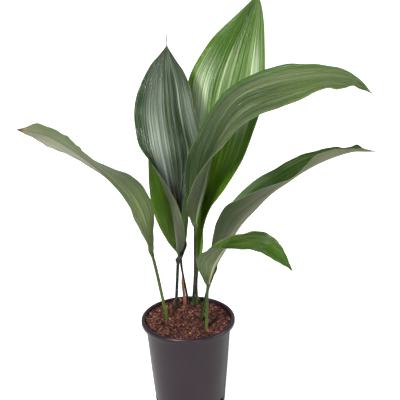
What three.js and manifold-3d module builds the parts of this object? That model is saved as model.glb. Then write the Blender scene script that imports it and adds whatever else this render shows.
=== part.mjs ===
// Potted cast iron plant (Aspidistra elatior): seven leaves and a dry sheath in a filled nursery pot.
// Millimetres, +Z up. The origin is the centre of the pot's base, so z = 0 is the surface it stands on.
import * as THREE from "three";
import { mergeVertices } from "three/addons/utils/BufferGeometryUtils.js";
import Module from "manifold-3d";

// ---- driving dimensions -------------------------------------------------------------------------
const POT = {
  rimRadius: 70, // outside of the rolled rim
  lipRadius: 2.8, // outer radius of the roll
  lipCentreZ: 139.2,
  skirtZ: 134.5, // lower edge of the roll's outer skirt
  wall: 1.6,
  floor: 2,
  cornerRadius: 3.8, // between base and wall
  sides: 48,
  // outer wall, [radius, height], from the base corner to just below the rim
  body: [[53, 3.8], [54.3, 20], [57.8, 60], [60.9, 100], [62.3, 117], [63.5, 129]],
};
const SLOT = { count: 8, firstDeg: -32, width: 14, height: 15, innerRadius: 42, outerRadius: 60 };
const SOIL = { gap: 0.4, shoulderZ: 136, edgeZ: 137.2, crown: 2.2, bump: 0.9, rings: 8, sides: 36 };
const HOLE = { clearance: 0.8, bottomZ: 108, length: 50, taper: 1.1, sides: 10 };
const BLADE = {
  thickness: 0.8,
  petioleThickness: 0.95, // of a round section, flattened on its upper face
  blendWidth: 9, // half-width at which the stalk has fully opened into a blade
  stationStep: 12.5, // spacing of the sections along the blade
  stalkSections: 5,
  columns: 5, // strips in each wing
  wingSteps: 6, // steps in which a strip's turn is added up
  rib: 0.45, // height of the ridges along the blade
  fullRib: 20, // half-width from which the ridges have that height
  waveTurn: 2.1, // how far the left margin's waves run ahead of the right one's, in radians
  keel: 1.3, // depth of the midrib under the blade's foot
};
const END_RADIUS = 0.45; // half-width of the last section at a tip
const HALF_WIDTH = 3; // its column in a leaf's rows

// ---- the leaves ---------------------------------------------------------------------------------
// One row for each place along the stalk and midrib, from the root end to the tip:
// [x, y, z, halfWidth, leftLift, rightLift, leftCurl, rightCurl]
// A lift is the angle at which a wing leaves the midrib, above the level direction across the leaf.
// A curl is how much further the wing has turned at its margin. heading is the compass direction, in
// degrees from +X, in which the leaf leans outwards; left and right are as seen looking that way.
// opensAt is the row at which the stalk begins to open into the blade. wave is the height, number and
// phase of the margin's waves. A ninth value, on a blade whose foot is lopsided, is the right wing's share
// of the half-width.
const LEAVES = {
  leaf_left: {
    heading: 195,
    opensAt: 2,
    wave: [1.2, 3.5, 0.4],
    rows: [
      [-26, 1, 112, 2.8, 0, 0, 0, 0],
      [-36, -3, 172, 2.7, 20, 0, 0, 0],
      [-48, -6, 244, 2.7, 70, -10, 0, 0],
      [-56, -12, 274, 12, 74, -8, 35, 0],
      [-70, -20, 316, 27, 70, 0, 30, 0],
      [-86, -30, 353, 35, 58, 5, 25, 0],
      [-102, -40, 379, 37, 44, -8, 18, 0],
      [-120, -52, 405, 36, 28, -20, 5, 0],
      [-149, -70, 438, 31, 22, -30, 0, 0],
      [-173, -82, 460, 23, 38, -45, 0, 0],
      [-196, -92, 472, 14, 66, -45, 0, 0],
      [-215, -98, 478, 0.5, 70, -50, 0, 0],
    ],
  },
  leaf_centre: {
    heading: 90,
    opensAt: 2,
    wave: [1, 3, 1.9],
    rows: [
      [-20, 34, 112, 2.4, 0, 0, 0, 0, 1],
      [-15, 43, 179, 2.4, 0, 0, 0, 0, 1],
      [-13, 47, 207, 2.4, 150, -10, 100, 0, 1],
      [-11, 49, 226, 14, 60, 0, 110, 0, 0.6],
      [-10, 50, 240, 28, 62, 20, 140, 0, 0.45],
      [-9, 52, 258, 41, 60, 50, 148, 0, 0.25],
      [-7, 54, 285, 47, 50, 75, 152, 0, 0.18],
      [-7, 57, 313, 46, 34, 40, 158, 0, 0.18],
      [-10, 61, 346, 47, 16, -10, 140, 10, 0.8],
      [-14, 66, 379, 50, 8, -10, 90, 40, 1],
      [-18, 72, 410, 50, 2, -10, 20, 65, 0.95],
      [-21, 79, 442, 49, 3, -8, 10, 70, 0.88],
      [-22, 87, 472, 41, 12, 0, 5, 50, 0.92],
      [-22, 94, 501, 25, 18, 14, 5, 10, 1],
      [-20, 99, 521, 9, 30, 20, 0, 0, 1],
      [-19, 101, 531, 1.2, 10, 10, 0, 0, 1],
      [-19, 102, 541, 0.6, 0, 0, 0, 0, 1],
      [-18, 101, 549, 0.5, 0, 0, 0, 0, 1],
    ],
  },
  leaf_back_left: {
    heading: 110,
    opensAt: 3,
    wave: [1.2, 3, 0.9],
    rows: [
      [2, 42, 112, 1.9, 0, 0, 0, 0],
      [1, 45, 142, 1.8, 0, 0, 0, 0],
      [-7, 58, 192, 1.8, 5, 5, 0, 0],
      [-9, 66, 209, 2.4, 10, 10, 0, 0],
      [-13, 72, 236, 15, 5, 10, 0, 0],
      [-19, 79, 270, 26, 3, 5, 0, 0],
      [-24, 88, 301, 30, 6, 3, 10, 10],
      [-30, 100, 337, 29, 15, 5, 10, 10],
      [-35, 122, 392, 17, 20, 10, 0, 0],
      [-38, 134, 422, 0.5, 20, 10, 0, 0],
    ],
  },
  leaf_tall: {
    heading: 78,
    opensAt: 2,
    wave: [1.3, 3.5, 2.6],
    rows: [
      [16, 36, 112, 2.4, 0, 0, 0, 0, 1],
      [14, 49, 163, 2.2, 0, 0, 0, 0, 1],
      [15, 51, 186, 2.3, 10, 10, 0, 0, 1],
      [20, 56, 222, 4.6, 30, 40, 0, 0, 1],
      [23, 63, 256, 9, -5, 20, 0, 130, 1],
      [29, 73, 290, 20, -12, 25, 0, 75, 1],
      [38, 80, 329, 34, 0, 24, 0, 15, 1],
      [49, 89, 370, 46, 0, 18, 0, 5, 1],
      [61, 98, 416, 56, 8, 15, 0, 10, 0.94],
      [74, 107, 463, 64, 8, 20, 5, 10, 0.9],
      [87, 115, 508, 52, 8, 28, 5, 10, 0.98],
      [102, 122, 554, 31, 32, 32, 0, 5, 1],
      [111, 126, 582, 13, 45, 30, 0, 0, 1],
      [115, 128, 597, 0.5, 45, 30, 0, 0, 1],
    ],
  },
  leaf_arch_right: {
    heading: 0,
    opensAt: 5,
    wave: [1.3, 4, 0.2],
    rows: [
      [7, 44, 112, 3.1, 0, 0, 0, 0],
      [8, 43, 140, 2.9, 0, 0, 0, 0],
      [10, 42, 163, 2.6, 0, 0, 0, 0],
      [12, 43, 188, 2.5, 20, 20, 0, 0],
      [13, 45, 217, 2.3, 40, 40, 0, 0],
      [14, 44, 256, 2.4, 50, 60, 0, 0],
      [17, 41, 278, 8, 60, 72, 45, 60],
      [24, 36, 309, 27, 52, 50, 25, 20],
      [32, 31, 340, 37, 50, 38, 18, 12],
      [38, 26, 372, 40, 49, 24, 10, 6],
      [45, 22, 403, 40, 40, 8, 0, 0],
      [56, 16, 437, 39, 26, -12, 0, 0],
      [73, 10, 465, 39, 22, -27, 0, 0],
      [94, 6, 482, 39, 25, -35, 0, 0],
      [120, 3, 492, 38, 28, -31, 0, 0],
      [166, -2, 504, 33, 25, -29, 0, 0],
      [200, -5, 509, 25, 28, -22, 0, 0],
      [228, -7, 506, 15, 34, -35, 0, 0],
      [247, -9, 497, 6, 30, -35, 0, 0],
      [261, -10, 486, 0.8, 30, -35, 0, 0],
      [265, -10, 482, 0.5, 30, -35, 0, 0],
    ],
  },
  leaf_low_right: {
    heading: 0,
    opensAt: 2,
    wave: [1.1, 4, 1.2],
    rows: [
      [11, -15, 112, 2.6, 0, 0, 0, 0],
      [28, -4, 181, 2.5, 20, 20, 0, 0],
      [37, -1, 208, 2.6, 45, 60, 0, 0],
      [44, 2, 226, 8, 48, 75, 25, 40],
      [57, 5, 248, 24, 50, 80, 25, 50],
      [80, 7, 285, 35, 44, 80, 18, 50],
      [102, 7, 310, 38, 38, 60, 6, 25],
      [124, 7, 333, 37, 32, 40, 0, 6],
      [150, 6, 352, 35, 30, 28, 0, 0],
      [171, 5, 367, 32, 25, 28, 0, 0],
      [194, 4, 380, 27, 22, 45, 0, 0],
      [220, 2, 391, 19, 28, 54, 0, 0],
      [241, 0, 397, 11, 15, 50, 0, 0],
      [258, -1, 397, 5, 20, 40, 0, 0],
      [272, -2, 397, 0.5, 25, 40, 0, 0],
    ],
  },
  leaf_front_right: {
    heading: -30,
    opensAt: 2,
    wave: [0.8, 3, 2.2],
    rows: [
      [26, -34, 112, 2.4, 0, 0, 0, 0],
      [28, -24, 171, 2.5, 20, 20, 0, 0],
      [30, -22, 202, 2.5, 50, 60, 0, 0],
      [35, -23, 219, 18, 48, 60, 35, 35],
      [40, -25, 234, 29, 50, 58, 25, 35],
      [48, -28, 252, 30, 42, 38, 10, 20],
      [57, -32, 268, 29, 22, 24, 0, 0],
      [70, -38, 277, 29, 9, 10, 0, 0],
      [86, -45, 284, 28, 8, -3, 0, 0],
      [103, -52, 285, 25, 13, -4, 0, 0],
      [118, -58, 280, 20, 10, -5, 0, 0],
      [133, -64, 266, 12, 8, -6, 0, 0],
      [149, -70, 247, 0.5, 8, -6, 0, 0],
    ],
  },
};

// the papery scale that stands beside the stalks, made as a leaf is
const SHEATH = {
  heading: 90,
  opensAt: 0,
  wave: [0, 1, 0],
  rows: [
    [-4, 42, 116, 2.5, 0, 0, 0, 0],
    [-4, 43, 141, 2.6, 20, 20, 20, 20],
    [-5, 44, 157, 2.7, 35, 35, 20, 20],
    [-7, 46, 177, 2, 35, 35, 20, 20],
    [-7, 48, 188, 0.6, 20, 20, 0, 0],
  ],
};

const FINISH = {
  pot: { color: 0x36343a, roughness: 0.5, metalness: 0 },
  soil: { color: 0x4e3127, roughness: 1, metalness: 0 },
  leaf_left: { color: 0x5c7a4d, roughness: 0.55, metalness: 0 },
  leaf_centre: { color: 0x3e5a40, roughness: 0.4, metalness: 0 },
  leaf_back_left: { color: 0x3f7a1c, roughness: 0.4, metalness: 0 },
  leaf_tall: { color: 0x4f8a35, roughness: 0.35, metalness: 0 },
  leaf_arch_right: { color: 0x4c7340, roughness: 0.45, metalness: 0 },
  leaf_low_right: { color: 0x49683c, roughness: 0.45, metalness: 0 },
  leaf_front_right: { color: 0x3f7a2a, roughness: 0.4, metalness: 0 },
  dry_sheath: { color: 0x8d5a48, roughness: 0.9, metalness: 0 },
};

// ---- small helpers ------------------------------------------------------------------------------
const rad = THREE.MathUtils.degToRad;
const smooth = (t) => THREE.MathUtils.smoothstep(t, 0, 1);

// points of an arc in the plane, angles in degrees
function arc(cx, cy, radius, fromDeg, toDeg, steps) {
  return Array.from({ length: steps + 1 }, (_, i) => {
    const a = rad(fromDeg + ((toDeg - fromDeg) * i) / steps);
    return [cx + radius * Math.cos(a), cy + radius * Math.sin(a)];
  });
}

// closed triangle mesh from a list of points and a list of index triples
function meshGeometry(points, faces) {
  const geometry = new THREE.BufferGeometry();
  geometry.setAttribute("position", new THREE.Float32BufferAttribute(points.flat(), 3));
  geometry.setIndex(faces.flat());
  return geometry;
}

// [radius, height] profile turned about +Z; the profile runs up the outside and down the inside
function lathe(profile, sides) {
  const points = profile.map(([r, z]) => new THREE.Vector2(r, z));
  const geometry = new THREE.LatheGeometry(points, sides);
  geometry.rotateX(Math.PI / 2);
  return geometry;
}

const wasm = await Module();
wasm.setup();

function toSolid(geometry) {
  const plain = geometry.clone();
  plain.deleteAttribute("normal");
  plain.deleteAttribute("uv");
  const merged = mergeVertices(plain, 1e-4);
  // triangles that a pole has flattened to a line are dropped
  const index = merged.index.array;
  const kept = [];
  for (let i = 0; i < index.length; i += 3) {
    const [a, b, c] = [index[i], index[i + 1], index[i + 2]];
    if (a !== b && b !== c && c !== a) kept.push(a, b, c);
  }
  return new wasm.Manifold(
    new wasm.Mesh({
      numProp: 3,
      vertProperties: merged.attributes.position.array,
      triVerts: new Uint32Array(kept),
    })
  );
}

function fromSolid(solid) {
  const mesh = solid.getMesh();
  const geometry = new THREE.BufferGeometry();
  geometry.setAttribute("position", new THREE.Float32BufferAttribute(mesh.vertProperties, 3));
  geometry.setIndex(new THREE.Uint32BufferAttribute(mesh.triVerts, 1));
  return geometry;
}

// ---- pot ----------------------------------------------------------------------------------------
function potGeometry() {
  const { rimRadius, lipRadius, lipCentreZ, skirtZ, wall, floor, cornerRadius, body, sides } = POT;
  const lipR = rimRadius - lipRadius;
  const inside = body.map(([r, z]) => [r - wall, z]).reverse();
  const cornerR = body[0][0] - cornerRadius;
  const profile = [
    [0, 0],
    ...arc(cornerR, cornerRadius, cornerRadius, -90, 0, 2),
    ...body.slice(1),
    ...arc(lipR, lipCentreZ, lipRadius - wall, 180, 0, 4),
    [rimRadius - wall, skirtZ],
    [rimRadius, skirtZ],
    ...arc(lipR, lipCentreZ, lipRadius, 0, 180, 6),
    ...inside.slice(0, -1),
    [cornerR + 1, floor],
    [0, floor],
  ];
  let solid = toSolid(lathe(profile, sides));

  // drainage slots through the corner between wall and base
  const length = SLOT.outerRadius - SLOT.innerRadius;
  for (let i = 0; i < SLOT.count; i += 1) {
    const slot = new THREE.BoxGeometry(length, SLOT.width, SLOT.height + 2);
    slot.translate((SLOT.innerRadius + SLOT.outerRadius) / 2, 0, SLOT.height / 2 - 1);
    slot.rotateZ(rad(SLOT.firstDeg + (i * 360) / SLOT.count));
    solid = solid.subtract(toSolid(slot));
  }
  return fromSolid(solid);
}

// ---- soil ---------------------------------------------------------------------------------------
function soilHeight(x, y) {
  const r = Math.hypot(x, y) / POT.rimRadius;
  const lumps =
    Math.sin(x * 0.31 + 1.1) * Math.cos(y * 0.27 - 0.6) + 0.7 * Math.sin(x * 0.13 - y * 0.19 + 2.4);
  return SOIL.edgeZ + SOIL.crown * (1 - r * r) + SOIL.bump * lumps * (1 - r ** 6);
}

function soilGeometry(stalks) {
  const { gap, rings, sides } = SOIL;
  const bottom = POT.floor + gap;
  const wallRadii = POT.body.map(([r, z]) => [r - POT.wall - gap, z]);
  const foot = POT.body[0][0] - POT.cornerRadius - gap;
  // the mix follows the wall's flare up to its shoulder under the rim
  const [lowR, lowZ] = wallRadii[wallRadii.length - 1];
  const innerR = POT.rimRadius - 2 * POT.lipRadius - gap;
  const topRadius = lowR + ((innerR - lowR) * (SOIL.shoulderZ - lowZ)) / (POT.lipCentreZ - lowZ);
  wallRadii.push([topRadius, SOIL.shoulderZ]);

  // rings of points: up the side, then in across the top to the middle
  const levels = [[foot, () => bottom], ...wallRadii.slice(1).map(([r, z]) => [r, () => z])];
  for (let k = 0; k < rings; k += 1) {
    levels.push([topRadius * (1 - k / rings) + (k === 0 ? 0.2 : 0), soilHeight]);
  }
  const points = [];
  for (const [r, height] of levels) {
    for (let i = 0; i < sides; i += 1) {
      const a = (2 * Math.PI * i) / sides;
      const x = r * Math.cos(a);
      const y = r * Math.sin(a);
      points.push([x, y, height(x, y)]);
    }
  }
  const faces = [];
  for (let k = 0; k + 1 < levels.length; k += 1) {
    for (let i = 0; i < sides; i += 1) {
      const j = (i + 1) % sides;
      const [a, b, c, d] = [k * sides + i, k * sides + j, (k + 1) * sides + j, (k + 1) * sides + i];
      faces.push([a, b, c], [a, c, d]);
    }
  }
  const under = points.push([0, 0, bottom]) - 1;
  const crown = points.push([0, 0, soilHeight(0, 0)]) - 1;
  const last = (levels.length - 1) * sides;
  for (let i = 0; i < sides; i += 1) {
    const j = (i + 1) % sides;
    faces.push([under, j, i], [crown, last + i, last + j]);
  }
  let solid = toSolid(meshGeometry(points, faces));

  // a plain hole for each stalk, along the direction in which it stands
  for (const rows of stalks) {
    const root = new THREE.Vector3(...rows[0]);
    const axis = new THREE.Vector3(...rows[1]).sub(root).normalize();
    const radius = rows[0][3] + HOLE.clearance;
    const hole = new THREE.CylinderGeometry(radius * HOLE.taper, radius, HOLE.length, HOLE.sides);
    hole.translate(0, HOLE.length / 2, 0);
    hole.applyQuaternion(new THREE.Quaternion().setFromUnitVectors(new THREE.Vector3(0, 1, 0), axis));
    const start = root.clone().addScaledVector(axis, (HOLE.bottomZ - root.z) / axis.z);
    hole.translate(start.x, start.y, start.z);
    solid = solid.subtract(toSolid(hole));
  }
  return fromSolid(solid);
}

// ---- leaves -------------------------------------------------------------------------------------
// smooth curve through the rows, every column at once, over the length along the midrib
function rowCurve(rows, opensAt) {
  const knots = [0];
  for (let i = 1; i < rows.length; i += 1) {
    const step = Math.hypot(...[0, 1, 2].map((k) => rows[i][k] - rows[i - 1][k]));
    knots.push(knots[i - 1] + step);
  }
  const slope = rows.map((_, i) => {
    const a = Math.max(i - 1, 0);
    const b = Math.min(i + 1, rows.length - 1);
    return rows[i].map((_, k) => {
      if (k === HALF_WIDTH && i <= opensAt) return 0; // the stalk keeps its width up to the blade
      return (rows[b][k] - rows[a][k]) / (knots[b] - knots[a]);
    });
  });
  const at = (s) => {
    let i = 0;
    while (i < rows.length - 2 && s > knots[i + 1]) i += 1;
    const h = knots[i + 1] - knots[i];
    const t = (s - knots[i]) / h;
    const [h00, h10] = [2 * t ** 3 - 3 * t ** 2 + 1, t ** 3 - 2 * t ** 2 + t];
    const [h01, h11] = [3 * t ** 2 - 2 * t ** 3, t ** 3 - t ** 2];
    return rows[i].map(
      (v, k) => h00 * v + h10 * h * slope[i][k] + h01 * rows[i + 1][k] + h11 * h * slope[i + 1][k]
    );
  };
  return { at, knots, length: knots[knots.length - 1] };
}

// lengths along the midrib at which the leaf has a section: few on the stalk, close ones on the blade
function leafSections(curve, opensAt) {
  const bladeStart = curve.knots[opensAt];
  const bladeLength = curve.length - bladeStart;
  const count = Math.round(bladeLength / BLADE.stationStep);
  const sections = [];
  for (let i = 0; bladeStart > 0 && i < BLADE.stalkSections; i += 1) {
    sections.push((bladeStart * i) / BLADE.stalkSections);
  }
  for (let i = 0; i <= count; i += 1) sections.push(bladeStart + (bladeLength * i) / count);
  return { sections, bladeStart, bladeLength };
}

// distances [across, up] along one wing, from the midrib to the margin
function wingProfile(halfWidth, lift, curl, columns) {
  const steps = BLADE.wingSteps * columns;
  const points = [[0, 0]];
  let across = 0;
  let up = 0;
  for (let i = 0; i < steps; i += 1) {
    const q = (i + 0.5) / steps;
    const angle = rad(lift + curl * q * q);
    across += (Math.cos(angle) * halfWidth) / steps;
    up += (Math.sin(angle) * halfWidth) / steps;
    if ((i + 1) % BLADE.wingSteps === 0) points.push([across, up]);
  }
  return points;
}

function leafGeometry({ heading, opensAt, rows, wave }) {
  const curve = rowCurve(rows, opensAt);
  const { sections, bladeStart, bladeLength } = leafSections(curve, opensAt);
  const level = new THREE.Vector3(Math.sin(rad(heading)), -Math.cos(rad(heading)), 0);
  const { columns } = BLADE;
  const wide = 2 * columns + 1;
  const [waveHeight, waveCount, wavePhase] = wave;

  const middle = []; // points of the blade's middle surface
  const opened = []; // 0 on the round stalk, 1 on the open blade
  const along = []; // 0 where the blade begins, 1 at the tip
  for (const s of sections) {
    const [x, y, z, half, leftLift, rightLift, leftCurl, rightCurl, rightShare = 1] = curve.at(s);
    const ahead = new THREE.Vector3(...curve.at(Math.min(s + 1, curve.length)));
    const behind = new THREE.Vector3(...curve.at(Math.max(s - 1, 0)));
    const tangent = ahead.sub(behind).normalize();
    const side = level.clone().addScaledVector(tangent, -level.dot(tangent)).normalize();
    const upper = side.clone().cross(tangent);
    const halfWidth = Math.max(half, END_RADIUS);
    const stalkWidth = rows[0][3];
    const t = THREE.MathUtils.clamp((s - bladeStart) / bladeLength, 0, 1);
    const open = t === 0 ? 0 : smooth((halfWidth - stalkWidth) / (BLADE.blendWidth - stalkWidth));
    const tip = t > 0.5 ? 1 : open;
    const left = wingProfile(halfWidth, leftLift * tip, leftCurl * tip, columns);
    const rightWidth = halfWidth * (1 + (rightShare - 1) * tip);
    const right = wingProfile(rightWidth, rightLift * tip, rightCurl * tip, columns);
    const profile = [
      ...left.slice(1).reverse().map(([a, u]) => [-a, u]),
      ...right.map(([a, u]) => [a, u]),
    ];
    const row = profile.map(([a, u], k) => {
      const q = Math.abs(k - columns) / columns;
      const turn = wavePhase + (k < columns ? BLADE.waveTurn : 0);
      const margin = waveHeight * open * q * q * Math.sin(2 * Math.PI * waveCount * t + turn);
      const ridge = q > 0 && q < 1 ? BLADE.rib * tip * ((k - columns) % 2 === 0 ? -1 : 1) : 0;
      const lift = u + margin + ridge * Math.min(1, halfWidth / BLADE.fullRib);
      return new THREE.Vector3(x, y, z).addScaledVector(side, a).addScaledVector(upper, lift);
    });
    middle.push(row);
    opened.push(tip);
    along.push(t);
  }

  // thickness set off along the surface's own normal, the same columns on both faces
  const points = [];
  const last = middle.length - 1;
  for (let i = 0; i <= last; i += 1) {
    const [before, after] = [middle[Math.max(i - 1, 0)], middle[Math.min(i + 1, last)]];
    const upper = [];
    const lower = [];
    const halfWidth = Math.max(curve.at(sections[i])[3], END_RADIUS);
    for (let k = 0; k < wide; k += 1) {
      const a = (k - columns) / columns;
      const acrossStep = middle[i][Math.min(k + 1, wide - 1)].clone();
      acrossStep.sub(middle[i][Math.max(k - 1, 0)]);
      const alongStep = after[k].clone().sub(before[k]);
      const normal = acrossStep.cross(alongStep).normalize();
      const round = Math.max(BLADE.thickness / 2, halfWidth * Math.sqrt(Math.max(0, 1 - a * a)));
      const stalk = BLADE.petioleThickness * round;
      const flat = BLADE.thickness / 2;
      const keel = k === columns ? BLADE.keel * (1 - along[i]) : 0;
      const open = opened[i];
      upper.push(middle[i][k].clone().addScaledVector(normal, stalk * (1 - open) + flat * open));
      const depth = Math.max(stalk, flat) * (1 - open) + (flat + keel) * open;
      lower.push(middle[i][k].clone().addScaledVector(normal, -depth));
    }
    points.push(...[...upper, ...lower.reverse()].map((p) => p.toArray()));
  }

  // skin between neighbouring sections, with each strip split alike above and below, and two end caps
  const ring = 2 * wide;
  const faces = [];
  for (let i = 0; i < last; i += 1) {
    for (let k = 0; k < ring; k += 1) {
      const n = (k + 1) % ring;
      const [a, b, c, d] = [i * ring + k, i * ring + n, (i + 1) * ring + n, (i + 1) * ring + k];
      if (k < wide) faces.push([a, b, c], [a, c, d]);
      else faces.push([a, b, d], [b, c, d]);
    }
  }
  for (let k = 0; k + 1 < wide; k += 1) {
    const [a, b, c, d] = [k, k + 1, ring - 2 - k, ring - 1 - k];
    faces.push([a, c, b], [a, d, c]);
    const end = last * ring;
    faces.push([end + a, end + b, end + c], [end + a, end + c, end + d]);
  }
  return meshGeometry(points, faces);
}

// ---- assembly -----------------------------------------------------------------------------------
function addMesh(group, name, geometry) {
  geometry.computeVertexNormals();
  const mesh = new THREE.Mesh(geometry, new THREE.MeshStandardMaterial(FINISH[name]));
  mesh.name = name;
  group.add(mesh);
}

const plant = new THREE.Group();
const stalks = [...Object.values(LEAVES), SHEATH].map((leaf) => leaf.rows);
addMesh(plant, "pot", potGeometry());
addMesh(plant, "soil", soilGeometry(stalks));
for (const [name, leaf] of Object.entries(LEAVES)) addMesh(plant, name, leafGeometry(leaf));
addMesh(plant, "dry_sheath", leafGeometry(SHEATH));

export default plant;
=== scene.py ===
# Potted cast iron plant: the visible surfaces around its fixed CAD frame. Metres, +Z up.
import math

import bpy
import numpy as np
from mathutils import Matrix, Vector


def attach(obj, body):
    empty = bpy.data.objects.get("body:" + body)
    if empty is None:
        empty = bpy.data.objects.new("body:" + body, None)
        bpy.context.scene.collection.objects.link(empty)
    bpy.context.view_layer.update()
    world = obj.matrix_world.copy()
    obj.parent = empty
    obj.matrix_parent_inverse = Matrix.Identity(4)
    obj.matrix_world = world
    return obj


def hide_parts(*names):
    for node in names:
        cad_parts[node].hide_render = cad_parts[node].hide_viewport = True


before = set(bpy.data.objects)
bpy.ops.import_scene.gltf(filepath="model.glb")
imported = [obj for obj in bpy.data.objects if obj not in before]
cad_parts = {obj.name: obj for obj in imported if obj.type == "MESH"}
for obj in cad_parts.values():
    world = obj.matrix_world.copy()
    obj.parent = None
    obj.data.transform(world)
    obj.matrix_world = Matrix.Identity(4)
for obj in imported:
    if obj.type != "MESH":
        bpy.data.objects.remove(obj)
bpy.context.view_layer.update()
mm = 0.001


def srgb(red, green, blue):
    # 0-255 screen colour to the linear colour that a shader takes
    values = [v / 255 for v in (red, green, blue)]
    return tuple(v / 12.92 if v < 0.04045 else ((v + 0.055) / 1.055) ** 2.4 for v in values) + (1,)


def smooth(t):
    t = np.clip(t, 0, 1)
    return t * t * (3 - 2 * t)


# ---- camera, lights and floor

cameraValues = {
    "place": (0, -1.4954, 0.9485),
    "pitchDown": 22.45,
    "turnRight": 0.85,
    "roll": 1.43,
    "lens": 101.7,  # mm, on a 36 mm wide sensor
}


def makeCamera(values):
    data = bpy.data.cameras.new("camera")
    data.lens = values["lens"]
    data.sensor_width = 36
    data.clip_end = 60
    camera = bpy.data.objects.new("camera", data)
    bpy.context.collection.objects.link(camera)
    turn = Matrix.Rotation(-math.radians(values["turnRight"]), 4, "Z")
    tilt = Matrix.Rotation(math.radians(90 - values["pitchDown"]), 4, "X")
    roll = Matrix.Rotation(-math.radians(values["roll"]), 4, "Z")
    camera.matrix_world = Matrix.Translation(values["place"]) @ turn @ tilt @ roll
    bpy.context.scene.camera = camera


lightValues = {
    "world": {"front": 0.03, "behind": 0.55, "above": 0.06, "behindFade": (-0.25, 0.55),
              "aboveFade": (0.25, 0.9)},
    "sun": {"from": (-0.75, -1.15, 1.5), "watts": 1.35, "spread": 22},
    "aim": (0, 0, 0.42),
    "areas": {
        "leftSoftbox": {"place": (-1.05, -1.68, 1.33), "size": (0.32, 0.9), "watts": 66},
        "rightSoftbox": {"place": (1.9, -0.5, 0.3), "size": (0.6, 0.9), "watts": 26},
        "rightStrip": {"place": (1.05, -1.68, 0.3), "size": (0.05, 0.7), "watts": 5},
        "lowStrip": {"place": (0.3, -1.1, 0.06), "size": (0.04, 0.1), "watts": 2.2},
        "topSoftbox": {"place": (-0.6, -0.4, 2.4), "size": (0.7, 0.7), "watts": 16},
    },
    "floorColour": srgb(236, 236, 236),
    "floorFar": srgb(70, 70, 70),  # what the plant sees of the floor away from the pot
    "floorFade": (0.3, 0.85),
    "floorGlow": 0.85,  # bleaches the paper without lighting the plant
    "floorSize": 18,
    "floorZ": -0.0003,
}


def makeWorld(values):
    # a white room that is bright above and behind the plant and dim on the camera's side
    world = bpy.data.worlds.new("studio")
    world.use_nodes = True
    tree = world.node_tree
    facing = addNode(tree, "ShaderNodeTexCoord").outputs["Generated"]
    way = addNode(tree, "ShaderNodeSeparateXYZ", {0: facing}).outputs
    behind = times(tree, mapRange(tree, way[1], *values["behindFade"]), values["behind"])
    above = times(tree, mapRange(tree, way[2], *values["aboveFade"]), values["above"])
    strength = calc(tree, "ADD", calc(tree, "ADD", behind, above), values["front"])
    seen = addNode(tree, "ShaderNodeLightPath").outputs["Is Camera Ray"]
    strength = calc(tree, "MAXIMUM", strength, seen)  # the backdrop itself is white
    setInputs(tree, tree.nodes["Background"], {"Strength": strength, "Color": (1, 1, 1, 1)})
    bpy.context.scene.world = world


def makeStage(values):
    bpy.context.scene.view_settings.view_transform = "Standard"
    makeWorld(values["world"])
    for name, area in values["areas"].items():
        data = bpy.data.lights.new(name, "AREA")
        data.shape = "RECTANGLE"
        data.size, data.size_y = area["size"]
        data.energy = area["watts"]
        light = bpy.data.objects.new(name, data)
        bpy.context.collection.objects.link(light)
        aim = Vector(values["aim"]) - Vector(area["place"])
        light.location = area["place"]
        light.rotation_euler = aim.to_track_quat("-Z", "Y").to_euler()
        light.visible_camera = False
    sunData = bpy.data.lights.new("sun", "SUN")
    sunData.energy = values["sun"]["watts"]
    sunData.angle = math.radians(values["sun"]["spread"])
    sun = bpy.data.objects.new("sun", sunData)
    bpy.context.collection.objects.link(sun)
    sun.rotation_euler = Vector(values["sun"]["from"]).to_track_quat("Z", "Y").to_euler()
    half = values["floorSize"] / 2
    corners = [(-half, -half), (half, -half), (half, half), (-half, half)]
    floor = meshObject("floor", [(x, y, values["floorZ"]) for x, y in corners], [(0, 1, 2, 3)])
    material, tree, shader = newMaterial("floorPaper", 0.9, 0.1)
    seen = addNode(tree, "ShaderNodeLightPath").outputs["Is Camera Ray"]
    place = addNode(tree, "ShaderNodeTexCoord").outputs["Object"]
    away = addNode(tree, "ShaderNodeVectorMath", {0: place}, operation="LENGTH").outputs["Value"]
    far = mapRange(tree, away, *values["floorFade"])
    bounce = mixColour(tree, far, values["floorColour"], values["floorFar"])
    setInputs(tree, shader, {
        "Base Color": mixColour(tree, seen, bounce, values["floorColour"]),
        "Emission Color": (1, 1, 1, 1),
        "Emission Strength": times(tree, seen, values["floorGlow"]),
    })
    floor.data.materials.append(material)


# ---- small helpers for meshes and nodes

def meshObject(name, points, faces, attributes=None, slots=None):
    mesh = bpy.data.meshes.new(name)
    mesh.from_pydata(points, [], faces)
    for key, values in (attributes or {}).items():
        layer = mesh.attributes.new(key, "FLOAT", "POINT")
        layer.data.foreach_set("value", np.asarray(values, dtype=np.float32).ravel())
    if slots is not None:
        mesh.polygons.foreach_set("material_index", np.asarray(slots, dtype=np.int32))
    mesh.polygons.foreach_set("use_smooth", np.ones(len(mesh.polygons), dtype=bool))
    mesh.update()
    piece = bpy.data.objects.new(name, mesh)
    bpy.context.collection.objects.link(piece)
    return piece


def setInputs(tree, node, inputs):
    # each input is linked to an output of another node or given a plain value
    for key, value in inputs.items():
        if isinstance(value, bpy.types.NodeSocket):
            tree.links.new(value, node.inputs[key])
        else:
            node.inputs[key].default_value = value


def addNode(tree, kind, inputs=None, **settings):
    made = tree.nodes.new(kind)
    for key, value in settings.items():
        setattr(made, key, value)
    setInputs(tree, made, inputs or {})
    return made


def calc(tree, operation, *values):
    return addNode(tree, "ShaderNodeMath", dict(enumerate(values)), operation=operation).outputs[0]


def times(tree, first, second):
    return calc(tree, "MULTIPLY", first, second)


def mixColour(tree, factor, first, second, blend="MIX"):
    inputs = {0: factor, 6: first, 7: second}
    settings = {"data_type": "RGBA", "blend_type": blend}
    return addNode(tree, "ShaderNodeMix", inputs, **settings).outputs[2]


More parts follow.
